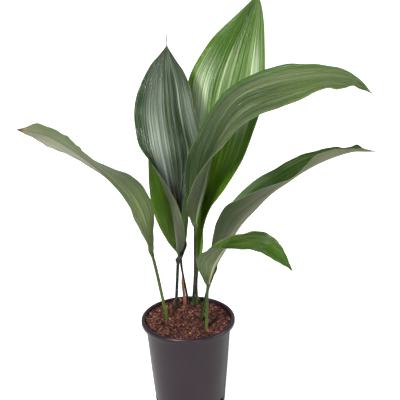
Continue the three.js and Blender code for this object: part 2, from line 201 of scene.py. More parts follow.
def mapRange(tree, value, low, high):
    # a smooth step from 0 to 1
    inputs = {0: value, 1: low, 2: high, 3: 0.0, 4: 1.0}
    return addNode(tree, "ShaderNodeMapRange", inputs, interpolation_type="SMOOTHSTEP").outputs[0]


def vectorOf(tree, x, y, z):
    return addNode(tree, "ShaderNodeCombineXYZ", {0: x, 1: y, 2: z}).outputs[0]


def noise(tree, vector, detail, roughness=0.5, scale=1.0):
    inputs = {"Vector": vector, "Scale": scale, "Detail": detail, "Roughness": roughness}
    return addNode(tree, "ShaderNodeTexNoise", inputs).outputs[0]


def attribute(tree, name):
    return addNode(tree, "ShaderNodeAttribute", attribute_name=name).outputs["Fac"]


def newGroup(name, inputs, outputs):
    group = bpy.data.node_groups.new(name, "ShaderNodeTree")
    for key, kind in inputs.items():
        group.interface.new_socket(key, in_out="INPUT", socket_type=kind)
    for key, kind in outputs.items():
        group.interface.new_socket(key, in_out="OUTPUT", socket_type=kind)
    return group, group.nodes.new("NodeGroupInput").outputs, group.nodes.new("NodeGroupOutput")


def placeGroup(tree, group, inputs):
    return addNode(tree, "ShaderNodeGroup", inputs, node_tree=group).outputs


def newMaterial(name, roughness, specular):
    material = bpy.data.materials.new(name)
    material.use_nodes = True
    tree = material.node_tree
    shader = tree.nodes["Principled BSDF"]
    setInputs(tree, shader, {"Roughness": roughness, "Specular IOR Level": specular})
    return material, tree, shader


def bumpNormal(tree, height, distance):
    inputs = {"Height": height, "Distance": distance, "Strength": 1.0}
    return addNode(tree, "ShaderNodeBump", inputs).outputs[0]


# ---- shader groups that several materials use

number = "NodeSocketFloat"


def streakGroup():
    # fine veins that run with the leaf, and the broad patches in which they show more or less
    group, given, out = newGroup(
        "leafStreaks",
        dict.fromkeys(("Across", "Along", "Veins", "Seed"), number),
        dict.fromkeys(("Streak", "Fine", "Patch"), number),
    )
    wide = times(group, given["Across"], given["Veins"])
    # name, place across, stretch along, detail, roughness, and the noise that counts as 0 and as 1
    layers = (
        ("Streak", wide, 1.3, 3.0, 0.6, 0.42, 0.6),
        ("Fine", times(group, wide, 2.3), 2.2, 2.0, 0.6, 0.38, 0.6),
        ("Patch", times(group, given["Across"], 1.4), 4.0, 1.0, 0.5, 0.36, 0.64),
    )
    for key, across, stretch, detail, roughness, low, high in layers:
        place = vectorOf(group, across, times(group, given["Along"], stretch), given["Seed"])
        grown = noise(group, place, detail, roughness)
        setInputs(group, out, {key: mapRange(group, grown, low, high)})
    return group


def bandGroup():
    # a soft-edged band that runs with the leaf, between two places across it and two along it
    keys = ("Across", "Along", "Left", "Right", "Start", "End", "Soft")
    group, given, out = newGroup("leafBand", dict.fromkeys(keys, number), {"Band": number})
    band = 1.0
    for value, low, high, soft in (("Across", "Left", "Right", 1.0), ("Along", "Start", "End", 1.2)):
        reach = times(group, given["Soft"], soft)
        rise, fall = [
            mapRange(group, given[value], calc(group, "SUBTRACT", given[end], reach),
                     calc(group, "ADD", given[end], reach))
            for end in (low, high)
        ]
        band = times(group, band, times(group, rise, calc(group, "SUBTRACT", 1.0, fall)))
    setInputs(group, out, {"Band": band})
    return group


def driedGroup():
    # where the blade has dried at its tip, with a ragged border
    keys = ("Across", "Along", "Start", "Seed")
    group, given, out = newGroup("driedTip", dict.fromkeys(keys, number), {"Dry": number, "Yellow": number})
    place = vectorOf(group, times(group, given["Across"], 5.0), times(group, given["Along"], 30.0),
                     given["Seed"])
    ragged = noise(group, place, 3.0)
    reach = calc(group, "MULTIPLY_ADD", calc(group, "SUBTRACT", ragged, 0.5), 0.03, given["Along"])
    beyond = calc(group, "SUBTRACT", reach, given["Start"])
    dry, yellow = mapRange(group, beyond, 0.0, 0.012), mapRange(group, beyond, -0.02, 0.006)
    setInputs(group, out, {"Dry": dry, "Yellow": yellow})
    return group


def grainGroup():
    # fine grain and soft blotches of a moulded or natural surface
    group, given, out = newGroup(
        "surfaceGrain",
        {"Vector": "NodeSocketVector", "Grain": number, "Blotch": number},
        {"Fine": number, "Soft": number},
    )
    fine = noise(group, given["Vector"], 3.0, 0.5, given["Grain"])
    soft = noise(group, given["Vector"], 4.0, 0.6, given["Blotch"])
    fine, soft = mapRange(group, fine, 0.3, 0.7), mapRange(group, soft, 0.35, 0.65)
    setInputs(group, out, {"Fine": fine, "Soft": soft})
    return group


leafStreaks = streakGroup()
leafBand = bandGroup()
driedTip = driedGroup()
surfaceGrain = grainGroup()


def grainMaterial(name, roughness, specular, grain, blotch, bump):
    # a moulded or natural surface; its colour is added by the caller
    material, tree, shader = newMaterial(name, roughness, specular)
    place = addNode(tree, "ShaderNodeTexCoord").outputs["Object"]
    marks = placeGroup(tree, surfaceGrain, {"Vector": place, "Grain": grain, "Blotch": blotch})
    setInputs(tree, shader, {"Normal": bumpNormal(tree, marks["Fine"], bump)})
    return material, tree, shader, marks


# ---- leaves

# One row for each place along the stalk and midrib, from the root end to the tip, in millimetres and
# degrees: (x, y, z, halfWidth, leftLift, rightLift, leftCurl, rightCurl, rightShare). A lift is the angle
# at which a wing leaves the midrib, a curl is how much further it has turned at its margin, and the share
# is the right wing's part of the half-width. What a row leaves out at its end comes from restOfRow. The
# rows, heading, opensAt and wave are those of the CAD leaf that the piece stands for. A ripple lifts one
# margin: (side, place along, reach, height in mm). A band is a soft stripe of another colour: (left,
# right, start, end, softness, strength, colour), where across the leaf -1 and 1 are its margins and along
# it 0 and 1 are the blade's ends. The turns are the places along the blade between which foot becomes
# middle and middle becomes tip, and from "dried" on the tip has dried up.
restOfRow = (0, 0, 0, 0, 1)
leafValues = {}
leafValues["leaf_left"] = {
    "heading": 195,
    "opensAt": 2,
    "wave": (1.2, 3.5, 0.4),
    "ripples": [(-1, 0.93, 0.022, 2.5), (-1, 0.82, 0.01, 1.8), (-1, 0.76, 0.01, 2)],
    "seed": 1,
    "dried": 0.97,
    "stalk": {"low": (80, 112, 4), "high": (62, 80, 26)},
    "upper": {
        "foot": (36, 60, 10), "middle": (44, 68, 16), "tip": (56, 80, 28), "pale": (96, 112, 50),
        "streaks": 0.35, "turns": (0.02, 0.35, 0.5, 0.9),
    },
    "under": {
        "foot": (56, 76, 20), "middle": (70, 90, 34), "tip": (130, 136, 104), "pale": (156, 163, 110),
        "streaks": 0.38, "turns": (0.02, 0.3, 0.45, 0.8),
        "bands": [
            (-1.2, -0.5, 0.62, 1.2, 0.12, 0.75, (84, 108, 54)),
            (0.1, 1.2, 0.5, 0.97, 0.15, 0.55, (212, 206, 184)),
            (0.2, 0.25, 0.45, 0.93, 0.03, 0.8, (96, 104, 76)),
            (0.42, 0.47, 0.5, 0.9, 0.03, 0.6, (110, 114, 88)),
            (-0.06, 0.02, 0.25, 0.95, 0.03, 0.9, (70, 84, 48)),
            (-0.3, -0.2, 0.36, 0.6, 0.06, 0.2, (180, 182, 143)),
        ],
    },
    "rows": [
        (-26, 1, 112, 2.8),
        (-36, -3, 172, 2.7, 20),
        (-48, -6, 244, 2.7, 70, -10),
        (-56, -12, 274, 12, 74, -8, 35),
        (-70, -20, 316, 27, 70, 0, 30),
        (-86, -30, 353, 35, 58, 5, 25),
        (-102, -40, 379, 37, 44, -8, 18),
        (-120, -52, 405, 36, 28, -20, 5),
        (-149, -70, 438, 31, 22, -30),
        (-173, -82, 460, 23, 38, -45),
        (-196, -92, 472, 14, 66, -45),
        (-215, -98, 478, 0.5, 70, -50),
    ],
}
leafValues["leaf_centre"] = {
    "heading": 90,
    "opensAt": 2,
    "wave": (1, 3, 1.9),
    "ripples": [(-1, 0.55, 0.04, 2), (1, 0.6, 0.04, 2)],
    "seed": 2,
    "dried": 0.955,
    "stalk": {"low": (26, 44, 22), "high": (22, 34, 18)},
    "upper": {
        # the near-black foot colour is painted shade: the deep shadow inside the rolled base of the blade
        "foot": (8, 18, 2), "middle": (34, 54, 26), "tip": (26, 44, 10), "pale": (150, 162, 146),
        # the pale streaks here are partly waxy bloom and partly painted highlight: grey-white gloss on the
        # blade
        "streaks": 0.64, "turns": (0.25, 0.58, 0.8, 1.0),
        "bands": [
            # this dark band is painted shade: the shadow in the channel along the right wing
            (0.2, 0.36, 0.3, 0.85, 0.05, 0.8, (18, 34, 12)),
            # this band and the next two are painted highlights: grey-white gloss streaks on the left-centre
            # and right of the blade
            (-0.62, -0.12, 0.4, 0.75, 0.1, 0.26, (180, 188, 176)),
            (-0.4, -0.3, 0.12, 0.5, 0.05, 0.6, (150, 166, 160)),
            (0.55, 0.9, 0.5, 0.75, 0.1, 0.25, (168, 176, 166)),
            (-1.2, -0.75, 0.25, 1.0, 0.1, 0.6, (36, 64, 20)),
        ],
    },
    "under": {
        "foot": (48, 56, 34), "middle": (76, 82, 58), "tip": (80, 84, 62), "pale": (107, 114, 69),
        "streaks": 0.35, "turns": (0.02, 0.3, 0.45, 0.8),
        "bands": [(-0.62, -0.5, 0.0, 0.2, 0.03, 0.44, (150, 150, 116))],
    },
    "rows": [
        (-20, 34, 112, 2.4),
        (-15, 43, 179, 2.4),
        (-13, 47, 207, 2.4, 150, -10, 100),
        (-11, 49, 226, 14, 60, 0, 110, 0, 0.6),
        (-10, 50, 240, 28, 62, 20, 140, 0, 0.45),
        (-9, 52, 258, 41, 60, 50, 148, 0, 0.25),
        (-7, 54, 285, 47, 50, 75, 152, 0, 0.18),
        (-7, 57, 313, 46, 34, 40, 158, 0, 0.18),
        (-10, 61, 346, 47, 16, -10, 140, 10, 0.8),
        (-14, 66, 379, 50, 8, -10, 90, 40),
        (-18, 72, 410, 50, 2, -10, 20, 65, 0.95),
        (-21, 79, 442, 49, 3, -8, 10, 70, 0.88),
        (-22, 87, 472, 41, 12, 0, 5, 50, 0.92),
        (-22, 94, 501, 25, 18, 14, 5, 10),
        (-20, 99, 521, 9, 30, 20),
        (-19, 101, 531, 1.2, 10, 10),
        (-19, 102, 541, 0.6),
        (-18, 101, 549, 0.5),
    ],
}
leafValues["leaf_back_left"] = {
    "heading": 110,
    "opensAt": 3,
    "wave": (1.2, 3, 0.9),
    "seed": 3,
    "dried": 1.1,
    "stalk": {"low": (22, 40, 26), "high": (30, 52, 18)},
    "upper": {
        "foot": (58, 88, 0), "middle": (62, 102, 0), "tip": (92, 128, 6), "pale": (128, 160, 40),
        "streaks": 0.5, "turns": (0.1, 0.4, 0.45, 0.9), "shine": 0.35,
    },
    "under": {
        "foot": (60, 76, 34), "middle": (64, 80, 38), "tip": (70, 86, 44), "pale": (96, 110, 53),
        "streaks": 0.35, "turns": (0.02, 0.35, 0.45, 0.95),
    },
    "rows": [
        (2, 42, 112, 1.9),
        (1, 45, 142, 1.8),
        (-7, 58, 192, 1.8, 5, 5),
        (-9, 66, 209, 2.4, 10, 10),
        (-13, 72, 236, 15, 5, 10),
        (-19, 79, 270, 26, 3, 5),
        (-24, 88, 301, 30, 6, 3, 10, 10),
        (-30, 100, 337, 29, 15, 5, 10, 10),
        (-35, 122, 392, 17, 20, 10),
        (-38, 134, 422, 0.5, 20, 10),
    ],
}
leafValues["leaf_tall"] = {
    "heading": 78,
    "opensAt": 2,
    "wave": (1.3, 3.5, 2.6),
    "ripples": [(-1, 0.91, 0.03, -4.5), (-1, 0.83, 0.02, 2), (-1, 0.6, 0.03, 2)],
    "seed": 4,
    "dried": 1.0,
    "stalk": {"low": (52, 80, 8), "high": (46, 60, 20)},
    "upper": {
        "foot": (70, 106, 0), "middle": (68, 106, 0), "tip": (56, 92, 6), "pale": (176, 198, 142),
        "streaks": 0.55, "turns": (0.1, 0.4, 0.48, 0.66), "shine": 0.35,
        "bands": [
            (-1.2, -0.88, 0.35, 1.0, 0.04, 0.6, (86, 124, 0)),
            # this band and the next two are painted highlights: whitish gloss streaks on the upper blade
            (-0.85, -0.5, 0.46, 0.72, 0.08, 0.55, (212, 226, 190)),
            (0.45, 0.75, 0.55, 0.82, 0.06, 0.5, (212, 226, 194)),
            (-0.3, -0.22, 0.5, 0.8, 0.03, 0.5, (200, 216, 170)),
            (0.0, 0.3, 0.5, 0.9, 0.1, 0.5, (58, 92, 0)),
            (-1.2, -0.3, 0.78, 0.93, 0.1, 0.8, (56, 98, 0)),
            # yellow-green over the lower blade: its own tone, brightened as painted light shining through
            # the blade
            (-1.2, 1.2, 0.05, 0.45, 0.1, 1.0, (106, 152, 0)),
        ],
    },
    "under": {
        "foot": (60, 76, 38), "middle": (66, 82, 44), "tip": (72, 88, 50), "pale": (101, 116, 62),
        "streaks": 0.35, "turns": (0.02, 0.35, 0.45, 0.95),
    },
    "rows": [
        (16, 36, 112, 2.4),
        (14, 49, 163, 2.2),
        (15, 51, 186, 2.3, 10, 10),
        (20, 56, 222, 4.6, 30, 40),
        (23, 63, 256, 9, -5, 20, 0, 130),
        (29, 73, 290, 20, -12, 25, 0, 75),
        (38, 80, 329, 34, 0, 24, 0, 15),
        (49, 89, 370, 46, 0, 18, 0, 5),
        (61, 98, 416, 56, 8, 15, 0, 10, 0.94),
        (74, 107, 463, 64, 8, 20, 5, 10, 0.9),
        (87, 115, 508, 52, 8, 28, 5, 10, 0.98),
        (102, 122, 554, 31, 32, 32, 0, 5),
        (111, 126, 582, 13, 45, 30),
        (115, 128, 597, 0.5, 45, 30),
    ],
}
leafValues["leaf_arch_right"] = {
    "heading": 0,
    "opensAt": 5,
    "wave": (1.3, 4, 0.2),
    "ripples": [(1, 0.86, 0.02, -3), (1, 0.92, 0.016, 3), (-1, 0.7, 0.05, 2)],
    "seed": 5,
    "dried": 0.985,
    "stalk": {"low": (32, 44, 12), "high": (34, 38, 18)},
    "upper": {
        "foot": (36, 56, 30), "middle": (34, 60, 6), "tip": (78, 98, 36), "pale": (132, 150, 100),
        "streaks": 0.42, "turns": (0.2, 0.45, 0.55, 0.8),
        "bands": [
            (-1.2, -0.8, 0.3, 1.0, 0.06, 0.7, (54, 92, 12)),
            (-1.2, 1.2, 0.08, 0.46, 0.12, 0.6, (28, 44, 16)),
            # a painted highlight: a greyish gloss patch on the blade's left wing
            (-0.6, -0.1, 0.56, 0.76, 0.14, 0.2, (168, 172, 128)),
            (0.3, 1.1, 0.2, 0.62, 0.2, 0.3, (104, 112, 72)),
            (0.965, 1.2, 0.0, 0.42, 0.01, 0.5, (190, 186, 141)),
        ],
    },
    "under": {
        "foot": (60, 76, 34), "middle": (76, 92, 48), "tip": (90, 104, 66), "pale": (131, 144, 84),
        "streaks": 0.5, "turns": (0.05, 0.3, 0.45, 0.9),
        "bands": [
            # a painted highlight: a pale glossy stripe beside the midrib on the underside
            (0.05, 0.2, -0.1, 0.3, 0.04, 0.5, (176, 196, 150)),
            (0.5, 0.6, -0.1, 0.3, 0.05, 0.28, (140, 150, 99)),
        ],
    },
    "rows": [
        (7, 44, 112, 3.1),
        (8, 43, 140, 2.9),
        (10, 42, 163, 2.6),
        (12, 43, 188, 2.5, 20, 20),
        (13, 45, 217, 2.3, 40, 40),
        (14, 44, 256, 2.4, 50, 60),
        (17, 41, 278, 8, 60, 72, 45, 60),
        (24, 36, 309, 27, 52, 50, 25, 20),
        (32, 31, 340, 37, 50, 38, 18, 12),
        (38, 26, 372, 40, 49, 24, 10, 6),
        (45, 22, 403, 40, 40, 8),
        (56, 16, 437, 39, 26, -12),
        (73, 10, 465, 39, 22, -27),
        (94, 6, 482, 39, 25, -35),
        (120, 3, 492, 38, 28, -31),
        (166, -2, 504, 33, 25, -29),
        (200, -5, 509, 25, 28, -22),
        (228, -7, 506, 15, 34, -35),
        (247, -9, 497, 6, 30, -35),
        (261, -10, 486, 0.8, 30, -35),
        (265, -10, 482, 0.5, 30, -35),
    ],
}
leafValues["leaf_low_right"] = {
    "heading": 0,
    "opensAt": 2,
    "wave": (1.1, 4, 1.2),
    "ripples": [(-1, 0.86, 0.018, -3), (-1, 0.92, 0.016, 4), (1, 0.94, 0.02, 3)],
    "seed": 6,
    "dried": 0.985,
    "stalk": {"low": (36, 56, 12), "high": (30, 44, 16)},
    "upper": {
        "foot": (50, 80, 12), "middle": (26, 54, 0), "tip": (34, 60, 0), "pale": (120, 146, 84),
        "streaks": 0.45, "turns": (0.25, 0.45, 0.5, 0.8), "shine": 0.16,
        "bands": [
            (-1.2, -0.72, 0.1, 0.5, 0.06, 0.6, (110, 136, 96)),
            (-0.6, 0.3, 0.3, 0.8, 0.2, 0.6, (24, 50, 0)),
        ],
    },
    "under": {
        "foot": (28, 42, 14), "middle": (54, 64, 36), "tip": (118, 120, 94), "pale": (138, 144, 91),
        "streaks": 0.4, "turns": (0.12, 0.4, 0.4, 0.7),
        "bands": [
            (-0.2, 0.25, 0.1, 0.75, 0.08, 0.34, (156, 148, 126)),
            (0.1, 1.2, -0.1, 0.34, 0.2, 0.7, (44, 60, 28)),
        ],
    },
    "rows": [
        (11, -15, 112, 2.6),
        (28, -4, 181, 2.5, 20, 20),
        (37, -1, 208, 2.6, 45, 60),
        (44, 2, 226, 8, 48, 75, 25, 40),
        (57, 5, 248, 24, 50, 80, 25, 50),
        (80, 7, 285, 35, 44, 80, 18, 50),
        (102, 7, 310, 38, 38, 60, 6, 25),
        (124, 7, 333, 37, 32, 40, 0, 6),
        (150, 6, 352, 35, 30, 28),
        (171, 5, 367, 32, 25, 28),
        (194, 4, 380, 27, 22, 45),
        (220, 2, 391, 19, 28, 54),
        (241, 0, 397, 11, 15, 50),
        (258, -1, 397, 5, 20, 40),
        (272, -2, 397, 0.5, 25, 40),
    ],
}
leafValues["leaf_front_right"] = {
    "heading": -30,
    "opensAt": 2,
    "wave": (0.8, 3, 2.2),
    "seed": 7,
    "dried": 1.0,
    "stalk": {"low": (70, 102, 4), "high": (52, 68, 24)},
    "upper": {
        "foot": (36, 64, 0), "middle": (42, 74, 0), "tip": (62, 102, 0), "pale": (110, 140, 40),
        "streaks": 0.42, "turns": (0.1, 0.5, 0.6, 0.95), "shine": 0.35,
        "bands": [(-1.2, -0.85, 0.3, 0.55, 0.05, 0.44, (176, 170, 127))],
    },
    "under": {
        "foot": (56, 70, 34), "middle": (82, 92, 60), "tip": (92, 100, 72), "pale": (134, 141, 88),
        "streaks": 0.4, "turns": (0.05, 0.2, 0.45, 0.9),
        "bands": [
            (-0.08, 0.08, -0.1, 0.4, 0.03, 0.52, (204, 200, 160)),
            (0.4, 1.2, -0.1, 0.25, 0.15, 0.5, (72, 92, 48)),
        ],
    },
    "rows": [
        (26, -34, 112, 2.4),
        (28, -24, 171, 2.5, 20, 20),
        (30, -22, 202, 2.5, 50, 60),
        (35, -23, 219, 18, 48, 60, 35, 35),
        (40, -25, 234, 29, 50, 58, 25, 35),
        (48, -28, 252, 30, 42, 38, 10, 20),
        (57, -32, 268, 29, 22, 24),
        (70, -38, 277, 29, 9, 10),
        (86, -45, 284, 28, 8, -3),
        (103, -52, 285, 25, 13, -4),
        (118, -58, 280, 20, 10, -5),
        (133, -64, 266, 12, 8, -6),
        (149, -70, 247, 0.5, 8, -6),
    ],
}

bladeValues = {
    "stalkStep": 6.0,  # mm between the sections of a stalk
    "bladeStep": 2.4,
    "tipInset": 0.1,  # keeps the rounded tip inside the CAD leaf's
    "columns": 44,  # strips in each wing
    "blendWidth": 9.0,  # half-width at which the stalk has fully opened
    "endRadius": 0.45,
    "thickness": 0.62,
    "marginThickness": 0.34,
    "petioleThickness": 0.95,
    "ribs": 12,  # ridges in each wing
    "ribHeight": 0.26,
    "grooveDepth": 0.55,
    "grooveWidth": 1.5,
    "keelDepth": 1.2,
    "keelWidth": 1.9,
    "smallWave": 0.35,
    "smallWaves": 11,
    "ribStrengths": (0.45, 1.25),
    "ribEnds": (0.1, 0.08),  # part of a wing over which the ridges rise at the midrib and at the margin
    "ribFade": (0.7, 0.6),  # place along the blade from which they fade, and how much
    "fullRib": 18,  # half-width from which they have their full height
    "channel": (0.15, 0.35),  # depth and width of the hollow along a stalk, as shares of the stalk's
    "stillTip": 5,  # half-width below which the margin's waves die away
    "waveTurn": 2.1,  # radians between the waves of the two wings
}


def rowSampler(rows, opensAt=-1):
    rows = np.array(rows, dtype=float)
    steps = np.linalg.norm(np.diff(rows[:, :3], axis=0), axis=1)
    knots = np.concatenate([[0], np.cumsum(steps)])
    before = np.maximum(np.arange(len(rows)) - 1, 0)
    after = np.minimum(np.arange(len(rows)) + 1, len(rows) - 1)
    slopes = (rows[after] - rows[before]) / (knots[after] - knots[before])[:, None]
    if opensAt >= 0:
        slopes[:opensAt + 1, 3] = 0  # a stalk keeps its width up to the blade

    def at(s):
        i = np.clip(np.searchsorted(knots, s, side="left") - 1, 0, len(rows) - 2)
        h = (knots[i + 1] - knots[i])[:, None]
        t = (s - knots[i])[:, None] / h
        return (
            (2 * t**3 - 3 * t**2 + 1) * rows[i]
            + (t**3 - 2 * t**2 + t) * h * slopes[i]
            + (3 * t**2 - 2 * t**3) * rows[i + 1]
            + (t**3 - t**2) * h * slopes[i + 1]
        )

    return at, knots


def wing(half, lift, curl, columns):
    # distances across and up from the midrib, one row of columns + 1 points for each section
    fine = 4 * columns
    q = (np.arange(fine) + 0.5) / fine
    angle = np.radians(lift[:, None] + curl[:, None] * q**2)
    steps = half[:, None] / fine
    across = np.cumsum(np.cos(angle) * steps, axis=1)[:, 3::4]
    up = np.cumsum(np.sin(angle) * steps, axis=1)[:, 3::4]
    start = np.zeros((len(half), 1))
    return np.hstack([start, across]), np.hstack([start, up])


def unit(vectors):
    return vectors / np.maximum(np.linalg.norm(vectors, axis=-1, keepdims=True), 1e-9)


def leafMesh(name, values, blade):
    rows = [(*row, *restOfRow[len(row) - 4:]) for row in values["rows"]]
    at, knots = rowSampler(rows, values["opensAt"])
    length = knots[-1]
    start = knots[values["opensAt"]]
    stalkCount = int(start / blade["stalkStep"])
    bladeCount = int((length - start) / blade["bladeStep"])
    s = np.concatenate([
        np.linspace(0, start, stalkCount, endpoint=False),
        np.linspace(start, length - blade["tipInset"], bladeCount + 1),
    ])
    sampled = at(s)
    tangent = unit(at(np.minimum(s + 1, length))[:, :3] - at(np.maximum(s - 1, 0))[:, :3])
    heading = math.radians(values["heading"])
    level = np.array([math.sin(heading), -math.cos(heading), 0])
    side = unit(level - (tangent @ level)[:, None] * tangent)
    upper = np.cross(side, tangent)
    half = np.maximum(sampled[:, 3], blade["endRadius"])
    stalkWidth = rows[0][3]
    t = np.clip((s - start) / (length - start), 0, 1)
    opened = smooth((half - stalkWidth) / (blade["blendWidth"] - stalkWidth))
    opened[t == 0] = 0
    opened = np.where(t > 0.5, 1, opened)

    columns = blade["columns"]
    q = np.linspace(-1, 1, 2 * columns + 1)[None, :]
    leftAcross, leftUp = wing(half, sampled[:, 4] * opened, sampled[:, 6] * opened, columns)
    rightHalf = half * (1 + (sampled[:, 8] - 1) * opened)
    rightAcross, rightUp = wing(rightHalf, sampled[:, 5] * opened, sampled[:, 7] * opened, columns)
    across = np.hstack([-leftAcross[:, :0:-1], rightAcross])
    up = np.hstack([leftUp[:, :0:-1], rightUp])
    o = opened[:, None]
    roundAcross = half[:, None] * np.sin(q * math.pi / 2)
    across = across * o + roundAcross * (1 - o)

    # ridges along the blade, margin waves, the midrib's groove
    random = np.random.default_rng(values["seed"])
    waveHeight, waveCount, wavePhase = values["wave"]
    turn = wavePhase + np.where(q < 0, blade["waveTurn"], 0)
    along = t[:, None]
    margin = waveHeight * q**2 * np.sin(2 * math.pi * waveCount * along + turn)
    smallTurn = 2 * math.pi * blade["smallWaves"] * along + 3 * np.sin(7 * along) + turn * 2
    margin += blade["smallWave"] * np.abs(q) ** 5 * np.sin(smallTurn)
    for sign, place, reach, height in values.get("ripples", ()):
        margin += height * np.clip(q * sign, 0, 1) ** 3 * np.exp(-(((along - place) / reach) ** 2))
    margin *= np.minimum(1, half / blade["stillTip"])[:, None]
    ribPlace = np.abs(q) * blade["ribs"]
    strengths = random.uniform(*blade["ribStrengths"], (2, blade["ribs"] + 2))
    strength = strengths[(q > 0).astype(int), np.floor(ribPlace).astype(int)]
    innerEnd, outerEnd = blade["ribEnds"]
    window = smooth(np.abs(q) / innerEnd) * smooth((1 - np.abs(q)) / outerEnd)
    fadeStart, faded = blade["ribFade"]
    fade = 1 - faded * smooth((along - fadeStart) / (1 - fadeStart))
    crest = 1 - np.abs(np.cos(math.pi * ribPlace)) ** 1.5 * 2
    ridge = -blade["ribHeight"] * strength * crest * window * fade
    narrow = np.minimum(1, half / blade["fullRib"])[:, None]
    fromRib = q * half[:, None]
    groove = -blade["grooveDepth"] * np.exp(-((fromRib / blade["grooveWidth"]) ** 2)) * narrow
    lift = up + o * (margin + ridge * narrow)
    centre = sampled[:, :3]
    middle = centre[:, None] + across[..., None] * side[:, None] + lift[..., None] * upper[:, None]

    columnIndex = np.arange(middle.shape[1])
    rowIndex = np.arange(middle.shape[0])
    acrossStep = middle[:, np.minimum(columnIndex + 1, columnIndex[-1])]
    acrossStep = acrossStep - middle[:, np.maximum(columnIndex - 1, 0)]
    alongStep = middle[np.minimum(rowIndex + 1, rowIndex[-1])] - middle[np.maximum(rowIndex - 1, 0)]
    normal = unit(np.cross(acrossStep, alongStep))

    flat = (blade["thickness"] + (blade["marginThickness"] - blade["thickness"]) * q**2) / 2
    rounded = half[:, None] * np.abs(np.cos(q * math.pi / 2))
    stalk = blade["petioleThickness"] * rounded
    hollow = blade["channel"][0] * stalk * np.exp(-((q / blade["channel"][1]) ** 2))
    keel = blade["keelDepth"] * (1 - along) * np.exp(-((fromRib / blade["keelWidth"]) ** 2))
    above = (stalk - hollow) * (1 - o) + (flat + groove) * o
    below = np.maximum(stalk, flat) * (1 - o) + (flat + keel) * o
    top = middle + normal * above[..., None]
    bottom = middle - normal * below[..., None]

    long, wide = middle.shape[:2]
    index = np.arange(long * wide).reshape(long, wide)
    under = index + long * wide
    a, b, c, d = index[:-1, :-1], index[:-1, 1:], index[1:, 1:], index[1:, :-1]
    upperFaces = np.stack([a, b, c, d], -1).reshape(-1, 4)
    lowerFaces = (np.stack([a, d, c, b], -1) + long * wide).reshape(-1, 4)
    leftFaces = np.stack([index[:-1, 0], index[1:, 0], under[1:, 0], under[:-1, 0]], -1)
    rightFaces = np.stack([under[:-1, -1], under[1:, -1], index[1:, -1], index[:-1, -1]], -1)
    rootFaces = np.stack([index[0, :-1], under[0, :-1], under[0, 1:], index[0, 1:]], -1)
    tipFaces = np.stack([index[-1, :-1], index[-1, 1:], under[-1, 1:], under[-1, :-1]], -1)
    parts = [upperFaces, lowerFaces, leftFaces, rightFaces, rootFaces, tipFaces]
    slots = np.concatenate([np.full(len(p), 1 if p is lowerFaces else 0) for p in parts])
    points = np.concatenate([top.reshape(-1, 3), bottom.reshape(-1, 3)]) * mm
    where = np.where(s < start, (s - start) / max(start, 1), t)
    alongAll = np.repeat(where, wide)
    acrossAll = np.tile(q.ravel(), long)
    attributes = {"along": np.tile(alongAll, 2), "across": np.tile(acrossAll, 2)}
    return meshObject(name, points.tolist(), np.concatenate(parts).tolist(), attributes, slots)


leafLook = {
    "through": 0.2,  # light that comes through the blade
    "throughColour": (0.6, 1.0, 0.12),
    "throughDepth": 0.0015,
    "veins": 30.0,
    "veinShade": 0.72,
    "veinTint": (0.42, 0.5, 0.32, 1),
    "veinBump": 0.0004,
    "patchShare": 0.7,  # how much of a streak only its broad patch lets show
    "rim": {"from": 0.972, "to": 0.995, "strength": 0.4, "colour": (132, 142, 96)},
    "rib": {"width": 0.03, "strength": 0.2, "colour": (104, 122, 66)},
    "yellowed": (150, 140, 78),
    "dry": (120, 92, 66),
    "dryRoughness": 0.85,
    "stalkFoot": (84, 74, 50),
    "roughness": {"upper": 0.2, "under": 0.4},
    "roughnessSpread": {"Fine": 0.16, "Patch": 0.1},
}


